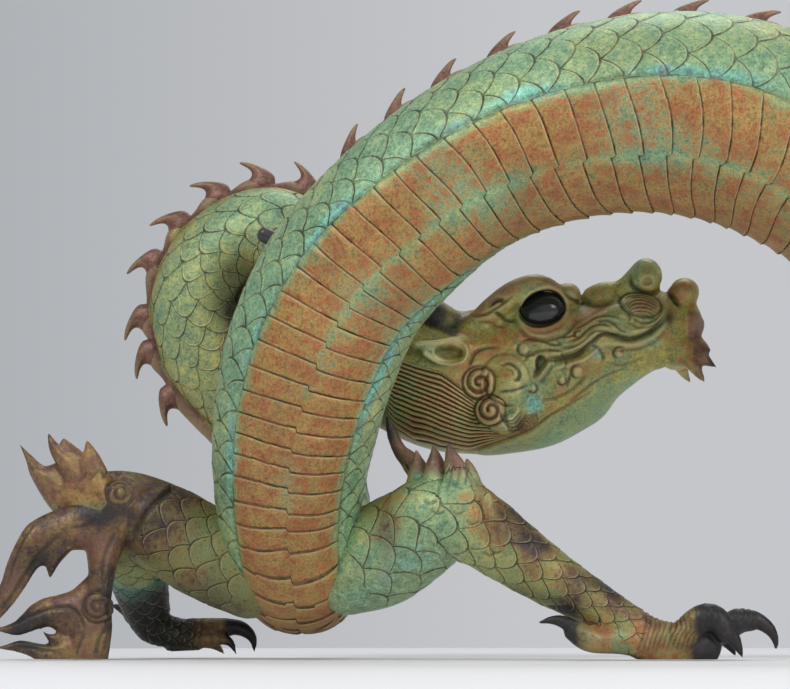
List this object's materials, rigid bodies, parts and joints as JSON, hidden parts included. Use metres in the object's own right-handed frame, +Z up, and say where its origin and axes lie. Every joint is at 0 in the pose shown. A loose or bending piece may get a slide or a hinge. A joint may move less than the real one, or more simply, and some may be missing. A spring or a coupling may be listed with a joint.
{
  "type": "dragon sculpture",
  "caption": "Cast bronze dragon standing on its feet, its body rising in one great arch, the neck looped behind and the head looking out through the arch.",
  "frame": {"origin": "centre of the bounding box in plan, on the ground under the feet", "axes": "+X from the crest of the neck loop towards the hips and tail, +Y from the viewer's side through the arch to the far side, +Z up"},
  "size_m": [1.4365, 0.4799, 0.6532],
  "materials": {
    "patinated_bronze": "green and brown patina over cast bronze, waxed to a soft sheen"
  },
  "bodies": {
    "root": {"dragon": "patinated_bronze"}
  },
  "joints": []
}
